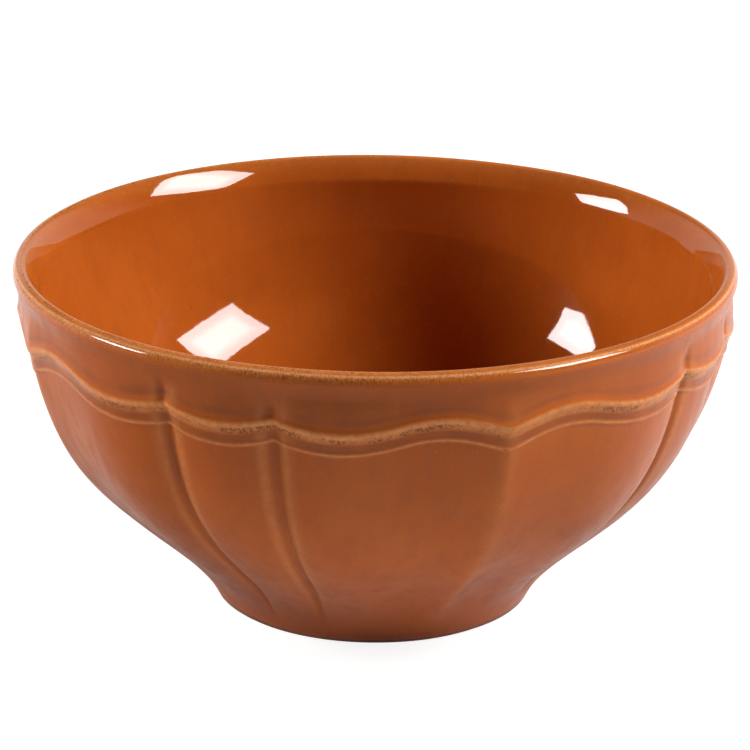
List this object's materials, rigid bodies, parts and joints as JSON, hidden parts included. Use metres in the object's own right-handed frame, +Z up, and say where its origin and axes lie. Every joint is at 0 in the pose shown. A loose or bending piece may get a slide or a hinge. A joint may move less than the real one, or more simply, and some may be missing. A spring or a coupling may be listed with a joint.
{
  "type": "sauce bowl",
  "caption": "Round glazed stoneware bowl with a rolled lip, a waved double bead below the rim, fluted sides and a bare foot ring, for serving sauce, soup or sides.",
  "frame": {"origin": "centre of the foot ring's standing face, on the table", "axes": "+Z up along the axis of the bowl, +X and +Y through the points of two braces of the waved bead"},
  "size_m": [0.1524, 0.1524, 0.0748],
  "materials": {
    "fired_clay": "dry bare stoneware, matt",
    "coat_glaze": "glossy terracotta-brown glaze that breaks lighter on edges, with fine dark specks",
    "well_glaze": "glossy terracotta-brown glaze"
  },
  "bodies": {
    "root": {"stoneware_body": "fired_clay", "glaze_coat": "coat_glaze", "foot_well_glaze": "well_glaze"}
  },
  "joints": []
}
